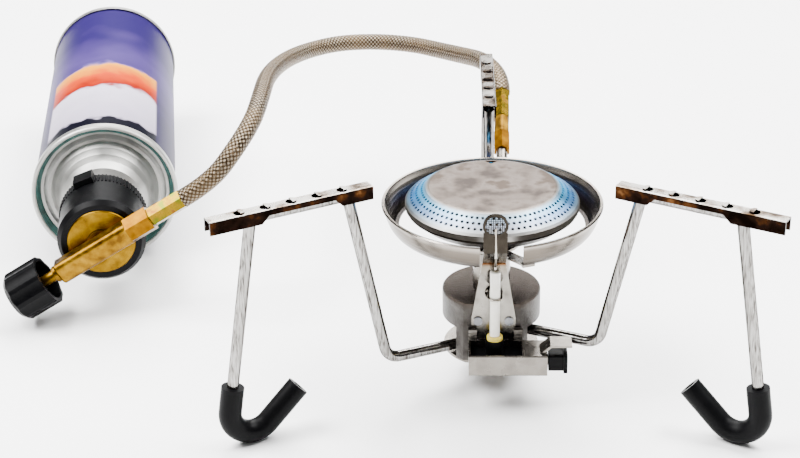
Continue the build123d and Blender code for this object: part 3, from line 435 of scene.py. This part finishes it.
def bright_tinplate():
    """Tinplate, drawn and spun: bright, with soft turning marks."""
    made, tree, shader, place = finish_of("tinplate_bright", colour("#c9c9c7"), 1.0, 0.20)
    stained(tree, shader, place, 7.0, [(0.3, colour("#a3a29f")), (0.7, colour("#b6b5b1"))], (0.38, 0.48))
    grain(tree, shader, place, 0.8, 0.02, 0.4)
    return made


def printed_tinplate():
    """Tinplate, printed and varnished: a lilac ground with a plain panel and warm and dark bands."""
    made, tree, shader, place = finish_of("tinplate_printed_varnished", colour("#9c8fc0"), 0.0, 0.38,
                                          Specular_IOR_Level=0.02)
    offset = add(tree, "ShaderNodeVectorMath", {0: place, 1: CAN_CENTRE}, operation="SUBTRACT").outputs[0]
    length = add(tree, "ShaderNodeVectorMath", {0: offset, 1: INTO_CAN},
                 operation="DOT_PRODUCT").outputs["Value"]
    down = add(tree, "ShaderNodeMapRange",
               {"Value": length, "From Min": -CAN_HALF, "From Max": CAN_HALF}).outputs["Result"]
    side = INTO_CAN.cross(Vector((0, 0, 1)))
    aside = add(tree, "ShaderNodeVectorMath", {0: offset, 1: side}, operation="DOT_PRODUCT").outputs["Value"]
    up = add(tree, "ShaderNodeSeparateXYZ", {0: offset}).outputs["Z"]
    angle = add(tree, "ShaderNodeMath", {0: aside, 1: up}, operation="ARCTAN2").outputs[0]
    # the lilac ground deepens round the tin's side and lightens along it
    cloud = add(tree, "ShaderNodeTexNoise",
                {"Vector": place, "Scale": per_mm(40.0), "Detail": 2.0}).outputs["Fac"]
    drift = add(tree, "ShaderNodeMath", {0: cloud, 1: 0.5, 2: down}, operation="MULTIPLY_ADD").outputs[0]
    ground = add(tree, "ShaderNodeValToRGB", {"Fac": drift},
                 [(0.20, colour("#0c0722")), (0.50, colour("#1b1238")), (0.85, colour("#3a2d5c")),
                  (1.0, colour("#1f1642"))]).outputs["Color"]
    # bands on the upper side: dark, pale, warm
    flame = add(tree, "ShaderNodeTexNoise",
                {"Vector": place, "Scale": per_mm(11.0), "Detail": 2.0}).outputs["Fac"]
    ragged = add(tree, "ShaderNodeMath", {0: flame, 1: 0.10, 2: down}, operation="MULTIPLY_ADD").outputs[0]
    bands = add(tree, "ShaderNodeValToRGB", {"Fac": ragged},
                [(0.0, colour("#06060f")), (0.125, colour("#06060f")), (0.135, colour("#8f8898")),
                 (0.36, colour("#a9a3b2")), (0.38, colour("#6e0a02")), (0.46, colour("#a83206")),
                 (0.53, colour("#c07c10")), (0.55, colour("#5a4e7e"))]).outputs["Color"]
    panel_half_angle, panel_fade = 0.88, 0.02
    spread = add(tree, "ShaderNodeMath", {0: angle}, operation="ABSOLUTE").outputs[0]
    inside = add(tree, "ShaderNodeMapRange",
                 {"Value": spread, "From Min": panel_half_angle - panel_fade,
                  "From Max": panel_half_angle + panel_fade, "To Min": 1.0, "To Max": 0.0}).outputs["Result"]
    near = add(tree, "ShaderNodeMapRange", {"Value": ragged, "From Min": 0.54, "From Max": 0.56,
                                            "To Min": 1.0, "To Max": 0.0}).outputs["Result"]
    panel = add(tree, "ShaderNodeMath", {0: inside, 1: near}, operation="MULTIPLY").outputs[0]
    tree.links.new(mixed(tree, panel, ground, bands), shader.inputs["Base Color"])
    grain(tree, shader, place, 1.0, 0.01, 0.3)
    return made


# ---- plastics, rubber and ceramic ------------------------------------------------
def moulded_abs():
    """Black ABS, moulded with a spark-eroded grain: matt, with a soft grey highlight."""
    made, tree, shader, place = finish_of("abs_black_moulded", colour("#050506"), 0.0, 0.36,
                                          Specular_IOR_Level=0.05)
    stained(tree, shader, place, 6.0, [(0.3, colour("#030304")), (0.7, colour("#070708"))], (0.30, 0.40))
    grain(tree, shader, place, 0.45, 0.04, 0.6)
    return made


def moulded_rubber():
    """Black rubber, moulded: deep matt black with a broad sheen and light dust."""
    made, tree, shader, place = finish_of("rubber_black_moulded", colour("#050506"), 0.0, 0.46,
                                          Specular_IOR_Level=0.05)
    stained(tree, shader, place, 9.0,
            [(0.3, colour("#030304")), (0.65, colour("#060607")), (0.85, colour("#0d0d0e"))], (0.36, 0.50))
    grain(tree, shader, place, 0.6, 0.04, 0.6)
    return made


def glazed_ceramic():
    """Alumina tube, glazed: warm white with a clear gloss and faint soot."""
    made, tree, shader, place = finish_of("alumina_white_glazed", colour("#eeebe2"), 0.0, 0.16, IOR=1.6,
                                          Coat_Weight=0.6)
    stained(tree, shader, place, 5.0,
            [(0.25, colour("#dcd7c8")), (0.5, colour("#e6e2d6")), (0.8, colour("#ece9e0"))])
    return made


def silicone_rubber():
    """Silicone rubber ring, moulded: a soft translucent yellow."""
    made, tree, shader, place = finish_of("silicone_yellow_moulded", colour("#d9b53a"), 0.0, 0.40, IOR=1.41,
                                          Subsurface_Weight=0.2)
    stained(tree, shader, place, 2.0, [(0.3, colour("#c9a02c")), (0.7, colour("#e5c858"))])
    return made


def sealing_compound():
    """Can sealing compound, flowed in: a matt blue green bead with slight ripples."""
    made, tree, shader, place = finish_of("rubber_compound_green", colour("#3f8f78"), 0.0, 0.55, IOR=1.52)
    stained(tree, shader, place, 4.0, [(0.3, colour("#02302c")), (0.7, colour("#0b4a44"))])
    grain(tree, shader, place, 1.5, 0.08, 0.6)
    return made


FINISHES = {
    "cast": cast_aluminium, "plated_rod": chrome_plated_steel, "tinted_bar": heat_tinted_stainless,
    "sheet": pressed_stainless, "bracket": bracket_stainless, "burner": burner_stainless,
    "soot": soot_and_shade_stainless, "bowl": spun_stainless,
    "brass": bar_brass, "disc": turned_brass, "chromate": chromated_steel, "orange": orange_nut,
    "zinc": zinc_plated_steel, "wire": drawn_wire, "gauze": woven_wire, "braid": braided_stainless,
    "tin": bright_tinplate, "print": printed_tinplate, "abs": moulded_abs, "rubber": moulded_rubber,
    "ceramic": glazed_ceramic, "silicone": silicone_rubber, "compound": sealing_compound,
}
made_finishes = {}


def finish_named(key):
    if key not in made_finishes:
        made_finishes[key] = FINISHES[key]()
    return made_finishes[key]


def paint(key, *names):
    """Gives these CAD nodes one finish."""
    for name in names:
        target = NODES[name]
        target.data.materials.clear()
        target.data.materials.append(finish_named(key))


# ---- meshes ----------------------------------------------------------------------
def piece(name, points, faces, key, smooth=True):
    """A new mesh piece in the stove's frame, with its finish."""
    mesh = bpy.data.meshes.new(name)
    mesh.from_pydata(points, [], faces)
    mesh.update()
    if smooth:
        mesh.shade_smooth()
    made = bpy.data.objects.new(name, mesh)
    bpy.context.scene.collection.objects.link(made)
    mesh.materials.append(finish_named(key))
    return made


def spline_points(route):
    """Points along a smooth curve through the route, as the curve's own mesh gives them."""
    curve = bpy.data.curves.new("route", "CURVE")
    curve.dimensions = "3D"
    spline = curve.splines.new("NURBS")
    spline.points.add(len(route) - 1)
    for point, place in zip(spline.points, route):
        point.co = (*place, 1)
    spline.order_u = 3
    spline.use_endpoint_u = True
    spline.resolution_u = 24
    holder = bpy.data.objects.new("route", curve)
    mesh = bpy.data.meshes.new_from_object(holder)
    points = [v.co.copy() for v in mesh.vertices]
    bpy.data.meshes.remove(mesh)
    bpy.data.objects.remove(holder)
    bpy.data.curves.remove(curve)
    return points


def evenly(points, step):
    """The same line, with points a fixed distance apart, and its length."""
    ends = [0.0]
    for a, b in zip(points, points[1:]):
        ends.append(ends[-1] + (b - a).length)
    count = ceil(ends[-1] / step)
    spaced, i = [], 0
    for k in range(count + 1):
        want = ends[-1] * k / count
        while i < len(points) - 2 and ends[i + 1] < want:
            i += 1
        share = (want - ends[i]) / (ends[i + 1] - ends[i])
        spaced.append(points[i].lerp(points[i + 1], share))
    return spaced, ends[-1]


def carried_frames(points):
    """A side direction and an up direction at each point, turned as little as possible."""
    frames = []
    side = None
    for i in range(len(points)):
        ahead = points[min(i + 1, len(points) - 1)] - points[max(i - 1, 0)]
        ahead.normalize()
        if side is None:
            side = ahead.cross(Vector((0, 0, 1))).normalized()
        side = (side - ahead * side.dot(ahead)).normalized()
        frames.append((side, ahead.cross(side)))
    return frames


BUNDLE_FILL = 2.1               # how narrow a bundle's dome is in its own gap
POINTS_PER_BUNDLE = 8
WIRES_PER_BUNDLE = 5


def braid_height(first, second):
    """Height of a plain braid, 0 in its gaps and 1 on a crown, and the place across a bundle."""
    a, b = first - floor(first) - 0.5, second - floor(second) - 0.5
    first_on_top = (floor(first) + floor(second)) % 2 == 0
    across, lengthwise = (a, b) if first_on_top else (b, a)
    dome = sqrt(max(0.0, 1 - (BUNDLE_FILL * across) ** 2))
    return dome * (0.45 + 0.55 * cos(pi * lengthwise)), across


def build_hose(sizes):
    """The braided hose: a tube whose skin is the relief of its wire bundles."""
    points, length = evenly(spline_points(HOSE_ROUTE), sizes.braid_step)
    frames = carried_frames(points)
    carriers = sizes.braid_carriers
    around = carriers * POINTS_PER_BUNDLE
    outer = sizes.hose_diameter / 2
    verts, lifts, wires = [], [], []
    for i, (point, (side, up)) in enumerate(zip(points, frames)):
        turn = carriers * (length * i / (len(points) - 1)) / sizes.braid_pitch
        for j in range(around):
            share = j / around
            lift, across = braid_height(carriers * share + turn, carriers * share - turn)
            radius = outer - sizes.braid_relief * (1 - lift)
            angle = 2 * pi * share
            verts.append(point + side * (radius * cos(angle)) + up * (radius * sin(angle)))
            lifts.append(lift)
            wires.append(across * WIRES_PER_BUNDLE)
    faces = []
    for i in range(len(points) - 1):
        for j in range(around):
            k = (j + 1) % around
            faces.append((i * around + j, i * around + k, (i + 1) * around + k, (i + 1) * around + j))
    last = (len(points) - 1) * around
    faces.append(tuple(reversed(range(around))))
    faces.append(tuple(range(last, last + around)))
    hose = piece("hose_braid", verts, faces, "braid")
    hose.data.attributes.new("lift", "FLOAT", "POINT").data.foreach_set("value", lifts)
    hose.data.attributes.new("wire", "FLOAT", "POINT").data.foreach_set("value", wires)
    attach(hose, "stove")
    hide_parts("hose")


def build_screen(sizes):
    """The spark screen: woven wires across the bracket's ring."""
    low, high = (Vector(corner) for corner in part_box("spark_screen"))
    centre = (low + high) / 2
    radius = (high.x - low.x) / 2
    curve = bpy.data.curves.new("spark_gauze", "CURVE")
    curve.dimensions = "3D"
    curve.bevel_depth = sizes.gauze_wire / 2
    curve.bevel_resolution = 2
    count = floor(radius / sizes.gauze_pitch)
    for way in (0, 1):
        for line in range(-count, count + 1):
            offset = line * sizes.gauze_pitch
            half = sqrt(max(0.0, radius ** 2 - offset ** 2))
            steps = max(4, ceil(half * 2 / sizes.gauze_pitch * 4))
            spline = curve.splines.new("POLY")
            spline.points.add(steps)
            for i, point in enumerate(spline.points):
                t = -half + 2 * half * i / steps
                wave = cos(pi * (t / sizes.gauze_pitch + line + way)) * sizes.gauze_wire / 2
                x, z = (t, offset) if way == 0 else (offset, t)
                point.co = (centre.x + x, centre.y + wave, centre.z + z, 1)
    gauze = bpy.data.objects.new("spark_gauze", curve)
    bpy.context.scene.collection.objects.link(gauze)
    curve.materials.append(finish_named("gauze"))
    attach(gauze, "stove")
    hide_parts("spark_screen")


def build_spring(sizes):
    """The igniter's coil spring, wound in the space that its CAD sleeve holds."""
    low, high = (Vector(corner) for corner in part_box("igniter_spring"))
    wire, coils = sizes.spring_wire / 2, sizes.spring_coils
    radius = (high.z - low.z) / 2 - wire
    centre = (low + high) / 2
    curve = bpy.data.curves.new("spring_coil", "CURVE")
    curve.dimensions = "3D"
    curve.bevel_depth = wire
    curve.bevel_resolution = 2
    spline = curve.splines.new("POLY")
    steps = coils * 24
    spline.points.add(steps)
    for i, point in enumerate(spline.points):
        angle = 2 * pi * coils * i / steps
        x = low.x + wire + (high.x - low.x - 2 * wire) * i / steps
        point.co = (x, centre.y + radius * cos(angle), centre.z + radius * sin(angle), 1)
    coil = bpy.data.objects.new("spring_coil", curve)
    bpy.context.scene.collection.objects.link(coil)
    curve.materials.append(finish_named("zinc"))
    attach(coil, "stove")
    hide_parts("igniter_spring")


def valve_point(x, y, z):
    """A point in the valve's own axes, as a point in the stove's frame."""
    second = FROM_CAN.cross(BAR_AXIS)
    return VALVE_CENTRE + BAR_AXIS * x + second * y + FROM_CAN * z


def build_knurl(sizes):
    """Fine ribs round the back of the locking collar."""
    radius = sizes.collar_radius
    back, front = sizes.knurl_back, sizes.knurl_front
    count = sizes.knurl_count
    section = ((back, 0.0), (back + 0.3 * MM, 1.0), (front - 0.3 * MM, 1.0), (front, 0.0))
    verts, faces = [], []
    per_rib = (0.0, 1.0, 1.0, 0.0)
    total = count * len(per_rib)
    for z, share in section:
        for i in range(total):
            angle = 2 * pi * i / total
            out = radius - 0.1 * MM + (sizes.knurl_depth + 0.1 * MM) * share * per_rib[i % len(per_rib)]
            verts.append(valve_point(out * cos(angle), out * sin(angle), z))
    for row in range(len(section) - 1):
        for i in range(total):
            k = (i + 1) % total
            faces.append((row * total + i, row * total + k, (row + 1) * total + k, (row + 1) * total + i))
    knurl = piece("collar_knurl", verts, faces, "abs", smooth=False)
    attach(knurl, "stove")


# ---- stage -----------------------------------------------------------------------
def build_stage(studio):
    scene = bpy.context.scene
    half = studio.floor_half
    verts = [(-half, -half, 0), (half, -half, 0), (half, half, 0), (-half, half, 0)]
    mesh = bpy.data.meshes.new("floor")
    mesh.from_pydata(verts, [], [(0, 1, 2, 3)])
    floor_piece = bpy.data.objects.new("floor", mesh)
    scene.collection.objects.link(floor_piece)
    paper = finish_of("paper_white_matt", tuple(studio.floor_colour), 0.0, 0.55)[0]
    mesh.materials.append(paper)

    world = bpy.data.worlds.new("studio")
    world.use_nodes = True
    scene.world = world
    background = world.node_tree.nodes["Background"]
    seen = add(world.node_tree, "ShaderNodeTexCoord").outputs["Generated"]
    height = add(world.node_tree, "ShaderNodeSeparateXYZ", {0: seen}).outputs["Z"]
    sky = add(world.node_tree, "ShaderNodeValToRGB", {"Fac": height},
              [(0.0, 0.02), (0.35, 0.06), (0.7, 0.35), (1.0, 0.8)])
    world.node_tree.links.new(sky.outputs["Color"], background.inputs["Color"])
    background.inputs["Strength"].default_value = studio.sky_strength

    centre = (Vector(CAD_BOX[0]) + Vector(CAD_BOX[1])) / 2
    for name, offset, size, power in (
        ("soft_left", (-0.85, -0.15, 1.30), 0.90, studio.key_power),
        ("soft_right", (0.90, 0.15, 1.30), 0.80, studio.key_power * 0.7),
        ("soft_back", (0.05, 1.00, 1.30), 1.20, studio.key_power),
    ):
        light = bpy.data.lights.new(name, "AREA")
        light.shape = "SQUARE"
        light.size = size
        light.energy = power
        lamp = bpy.data.objects.new(name, light)
        lamp.location = centre + Vector(offset)
        lamp.rotation_euler = (centre - lamp.location).to_track_quat("-Z", "Y").to_euler()
        scene.collection.objects.link(lamp)

    lens = bpy.data.cameras.new("view")
    lens.lens = studio.lens
    lens.sensor_width = 36
    camera = bpy.data.objects.new("view", lens)
    yaw, pitch, roll = studio.yaw, studio.pitch, studio.roll
    ahead = Vector((sin(yaw) * cos(pitch), cos(yaw) * cos(pitch), -sin(pitch)))
    right = Vector((cos(yaw), -sin(yaw), 0))
    up = right.cross(ahead)
    tilted_right = right * cos(roll) + up * sin(roll)
    tilted_up = up * cos(roll) - right * sin(roll)
    turn = Matrix((tilted_right, tilted_up, -ahead)).transposed()
    camera.matrix_world = Matrix.Translation(studio.station) @ turn.to_4x4()
    scene.collection.objects.link(camera)
    scene.camera = camera


# ---- what a user may change ------------------------------------------------------
class StoveSizes(bpy.types.PropertyGroup):
    """Sizes of the pieces that are modelled here."""
    hose_diameter: FloatProperty(name="Hose diameter", description="Over the braid's crowns",
                                 default=0.0084, unit="LENGTH")
    braid_carriers: IntProperty(name="Braid carriers", description="Wire bundles wound each way",
                                default=12, min=4, subtype="UNSIGNED")
    braid_pitch: FloatProperty(name="Braid pitch", description="Length of one turn of a bundle",
                               default=0.026, unit="LENGTH")
    braid_relief: FloatProperty(name="Braid relief", description="Depth of the gaps between bundles",
                                default=0.00035, unit="LENGTH")
    braid_step: FloatProperty(name="Braid step", description="Distance between the hose's rings of points",
                              default=0.00028, unit="LENGTH")
    gauze_pitch: FloatProperty(name="Gauze pitch", description="Distance between the screen's wires",
                               default=0.00085, unit="LENGTH")
    gauze_wire: FloatProperty(name="Gauze wire", description="Thickness of the screen's wires",
                              default=0.0003, unit="LENGTH")
    collar_radius: FloatProperty(name="Collar radius", description="Outside of the locking collar",
                                 default=0.0195, unit="LENGTH")
    knurl_back: FloatProperty(name="Knurl back", description="Far end of the knurl, from the valve's centre",
                              default=-0.0357, unit="LENGTH")
    knurl_front: FloatProperty(name="Knurl front", default=-0.0285, unit="LENGTH",
                               description="Near end of the knurl, from the valve's centre")
    knurl_count: IntProperty(name="Knurl ribs", description="Ribs round the collar", default=72, min=12,
                             subtype="UNSIGNED")
    knurl_depth: FloatProperty(name="Knurl depth", description="Height of a rib",
                               default=0.00045, unit="LENGTH")
    spring_wire: FloatProperty(name="Spring wire", description="Thickness of the igniter spring's wire",
                               default=0.0005, unit="LENGTH")
    spring_coils: IntProperty(name="Spring coils", description="Turns of the igniter's spring",
                              default=7, min=2, subtype="UNSIGNED")


class StoveStudio(bpy.types.PropertyGroup):
    """The floor, the light and the camera."""
    floor_half: FloatProperty(name="Floor half width", description="Half the floor's side",
                              default=3.0, unit="LENGTH")
    floor_colour: FloatVectorProperty(name="Floor colour", description="Matt paper", subtype="COLOR",
                                      default=colour("#f4f4f4"), min=0, max=1)
    sky_strength: FloatProperty(name="Surround", description="Strength of the soft light all round",
                                default=1.6, subtype="UNSIGNED")
    key_power: FloatProperty(name="Key light", description="Power of the main soft light",
                             default=95.0, unit="POWER")
    lens: FloatProperty(name="Lens", description="Focal length in millimetres",
                        default=74.76, unit="CAMERA")
    station: FloatVectorProperty(name="Camera place", description="Where the camera stands",
                                 subtype="TRANSLATION", unit="LENGTH",
                                 default=(-0.013938, -0.603468, 0.352427))
    pitch: FloatProperty(name="Pitch", description="How far the camera looks down", subtype="ANGLE",
                         default=radians(25.364))
    yaw: FloatProperty(name="Yaw", description="How far the camera turns to +X", subtype="ANGLE",
                       default=radians(-2.179))
    roll: FloatProperty(name="Roll", description="How far the camera leans", subtype="ANGLE",
                        default=radians(-0.984))


# ---- operators -------------------------------------------------------------------
class STOVE_OT_stage(bpy.types.Operator):
    """Sets the floor, the soft light and the camera"""
    bl_idname = "stove.stage"
    bl_label = "Stage"

    def execute(self, context):
        build_stage(context.scene.stove_studio)
        return {"FINISHED"}


class STOVE_OT_hose(bpy.types.Operator):
    """Builds the braided hose"""
    bl_idname = "stove.hose"
    bl_label = "Braided hose"

    def execute(self, context):
        build_hose(context.scene.stove_sizes)
        return {"FINISHED"}


class STOVE_OT_hub(bpy.types.Operator):
    """Finishes the hub casting and what holds the legs in it"""
    bl_idname = "stove.hub"
    bl_label = "Hub"

    def execute(self, context):
        paint("cast", "hub_casting")
        paint("sheet", "base_plate")
        paint("zinc", "pivot_bolt", "eye_spacer", "thrust_washer")
        return {"FINISHED"}


class STOVE_OT_legs(bpy.types.Operator):
    """Finishes the leg rods, their support bars and their foot sleeves"""
    bl_idname = "stove.legs"
    bl_label = "Legs"

    def execute(self, context):
        for side in ("left", "right", "rear"):
            paint("plated_rod", f"{side}_leg_rod")
            paint("tinted_bar", f"{side}_support_bar")
            paint("rubber", f"{side}_foot_sleeve")
        return {"FINISHED"}


class STOVE_OT_burner(bpy.types.Operator):
    """Finishes the burner head, its mixing tube and its jet"""
    bl_idname = "stove.burner"
    bl_label = "Burner"

    def execute(self, context):
        paint("burner", "burner_cap")
        paint("soot", "burner_cup")
        paint("sheet", "mixing_tube")
        paint("brass", "gas_jet")
        return {"FINISHED"}


class STOVE_OT_bowl(bpy.types.Operator):
    """Finishes the reflector bowl and its spider"""
    bl_idname = "stove.bowl"
    bl_label = "Reflector bowl"

    def execute(self, context):
        paint("bowl", "reflector_bowl")
        paint("sheet", "bowl_spider")
        return {"FINISHED"}


class STOVE_OT_igniter(bpy.types.Operator):
    """Finishes the igniter's bracket, tray, body and button, and winds its spring"""
    bl_idname = "stove.igniter"
    bl_label = "Igniter"

    def execute(self, context):
        paint("bracket", "igniter_bracket")
        paint("sheet", "igniter_tray")
        paint("zinc", "bracket_rivets", "striker_pin", "igniter_hammer")
        paint("abs", "igniter_body", "igniter_button", "button_plunger")
        paint("ceramic", "piezo_element")
        build_spring(context.scene.stove_sizes)
        return {"FINISHED"}


class STOVE_OT_electrode(bpy.types.Operator):
    """Finishes the insulator and its wire, and weaves the spark screen"""
    bl_idname = "stove.electrode"
    bl_label = "Electrode"

    def execute(self, context):
        paint("ceramic", "ceramic_insulator")
        paint("rubber", "insulator_boot")
        paint("silicone", "silicone_ring")
        paint("wire", "electrode_wire", "insulator_clip")
        build_screen(context.scene.stove_sizes)
        return {"FINISHED"}


class STOVE_OT_gas_line(bpy.types.Operator):
    """Finishes the feed pipe and the fittings at both ends of the hose"""
    bl_idname = "stove.gas_line"
    bl_label = "Gas line"

    def execute(self, context):
        paint("sheet", "feed_pipe")
        paint("brass", "inlet_nut")
        paint("chromate", "inlet_ferrule", "valve_ferrule")
        paint("orange", "valve_nut", "inlet_adaptor")
        return {"FINISHED"}


class STOVE_OT_valve(bpy.types.Operator):
    """Finishes the valve, its seals, its collar and its knob, and cuts the collar's knurl"""
    bl_idname = "stove.valve"
    bl_label = "Valve"

    def execute(self, context):
        paint("brass", "valve_body", "gland_nut", "valve_spindle")
        paint("disc", "valve_disc")
        paint("rubber", "spindle_seal", "inlet_seal")
        paint("abs", "lock_collar", "valve_knob")
        build_knurl(context.scene.stove_sizes)
        return {"FINISHED"}


class STOVE_OT_cartridge(bpy.types.Operator):
    """Finishes the gas cartridge's tin, its ends and its valve"""
    bl_idname = "stove.cartridge"
    bl_label = "Cartridge"

    def execute(self, context):
        paint("print", "cartridge_shell")
        paint("tin", "cartridge_dome", "cartridge_base", "valve_cup")
        paint("compound", "seam_compound")
        paint("brass", "cartridge_stem")
        return {"FINISHED"}


OPERATORS = (STOVE_OT_stage, STOVE_OT_hose, STOVE_OT_hub, STOVE_OT_legs, STOVE_OT_burner, STOVE_OT_bowl,
             STOVE_OT_igniter, STOVE_OT_electrode, STOVE_OT_gas_line, STOVE_OT_valve, STOVE_OT_cartridge)


class STOVE_PT_panel(bpy.types.Panel):
    """Lists the stove's pieces"""
    bl_idname = "STOVE_PT_panel"
    bl_label = "Canister stove"
    bl_space_type = "VIEW_3D"
    bl_region_type = "UI"
    bl_category = "Stove"

    def draw(self, context):
        for group in (context.scene.stove_sizes, context.scene.stove_studio):
            box = self.layout.box()
            for name in group.__annotations__:
                box.prop(group, name)
        for operator in OPERATORS:
            self.layout.operator(operator.bl_idname)


CLASSES = (StoveSizes, StoveStudio, *OPERATORS, STOVE_PT_panel)


def register():
    for cls in CLASSES:
        bpy.utils.register_class(cls)
    bpy.types.Scene.stove_sizes = PointerProperty(type=StoveSizes)
    bpy.types.Scene.stove_studio = PointerProperty(type=StoveStudio)


def unregister():
    del bpy.types.Scene.stove_studio
    del bpy.types.Scene.stove_sizes
    for cls in reversed(CLASSES):
        bpy.utils.unregister_class(cls)


def main():
    register()
    for operator in OPERATORS:
        group, name = operator.bl_idname.split(".")
        getattr(getattr(bpy.ops, group), name)()


if __name__ == "__main__":
    main()
